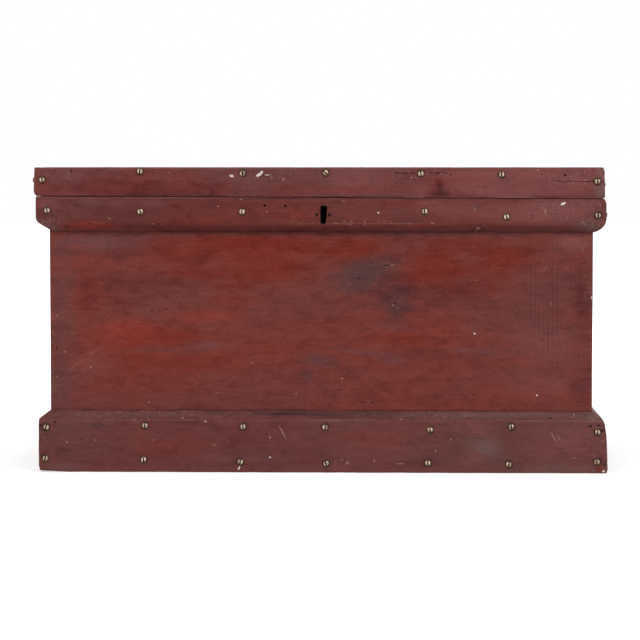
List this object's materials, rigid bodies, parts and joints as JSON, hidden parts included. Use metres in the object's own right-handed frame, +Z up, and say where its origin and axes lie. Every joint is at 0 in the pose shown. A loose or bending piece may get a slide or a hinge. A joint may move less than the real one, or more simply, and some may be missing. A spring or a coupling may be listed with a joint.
{
  "type": "trunk",
  "caption": "Painted pine trunk: a dovetailed case with a screwed plinth and top band, and a flat rimmed lid that swings on butt hinges and locks with a sliding bolt.",
  "frame": {"origin": "on the floor, under the middle of the case", "axes": "+X to the right seen from the front, +Y to the back where the hinges are, +Z up"},
  "size_m": [0.7477, 0.4062, 0.3973],
  "materials": {
    "case_paint": "worn oxblood paint on pine, satin",
    "lid_paint": "worn oxblood paint on pine, satin",
    "band_paint": "worn oxblood paint on pine, satin",
    "plinth_paint": "worn oxblood paint on pine, satin",
    "bare_pine": "bare aged pine, matte",
    "old_brass": "tarnished brass, satin",
    "iron": "dark forged iron",
    "lock_steel": "worn steel"
  },
  "bodies": {
    "case": {"back_board": "case_paint", "bottom_board_1": "bare_pine", "bottom_board_2": "bare_pine", "bottom_board_3": "bare_pine", "bottom_board_4": "bare_pine", "bottom_board_5": "bare_pine", "bottom_nails": "iron", "front_board": "case_paint", "left_end_board": "case_paint", "left_hinge_case_leaf": "old_brass", "left_hinge_case_screws": "old_brass", "left_hinge_pin": "old_brass", "lock_bolt_spring": "lock_steel", "lock_cap": "old_brass", "lock_guide_pins": "old_brass", "lock_key_pin": "old_brass", "lock_plate": "old_brass", "lock_screws": "old_brass", "plinth_back": "plinth_paint", "plinth_back_screws": "old_brass", "plinth_front": "plinth_paint", "plinth_front_screws": "old_brass", "plinth_left": "plinth_paint", "plinth_left_screws": "old_brass", "plinth_right": "plinth_paint", "plinth_right_screws": "old_brass", "right_end_board": "case_paint", "right_hinge_case_leaf": "old_brass", "right_hinge_case_screws": "old_brass", "right_hinge_pin": "old_brass", "upper_band_back": "band_paint", "upper_band_back_screws": "old_brass", "upper_band_front": "band_paint", "upper_band_front_screws": "old_brass", "upper_band_left": "band_paint", "upper_band_left_screws": "old_brass", "upper_band_right": "band_paint", "upper_band_right_screws": "old_brass"},
    "lid": {"left_hinge_lid_leaf": "old_brass", "left_hinge_lid_screws": "old_brass", "lid_board_back": "lid_paint", "lid_board_front": "lid_paint", "lid_board_middle": "lid_paint", "lid_rim_front": "lid_paint", "lid_rim_front_screws": "old_brass", "lid_rim_left": "lid_paint", "lid_rim_left_screws": "old_brass", "lid_rim_right": "lid_paint", "lid_rim_right_screws": "old_brass", "right_hinge_lid_leaf": "old_brass", "right_hinge_lid_screws": "old_brass", "strike_plate": "old_brass", "strike_screws": "old_brass"},
    "bolt": {"lock_bolt": "lock_steel"}
  },
  "joints": [
    {"name": "lid_hinge", "type": "hinge", "parent": "case", "child": "lid", "pos_m": [0, 0.1882, 0.37515], "axis": [-1, 0, 0], "range_deg": [0, 100]},
    {"name": "lock_bolt_slide", "type": "slide", "parent": "case", "child": "bolt", "axis": [1, 0, 0], "range_m": [0, 0.006]}
  ]
}
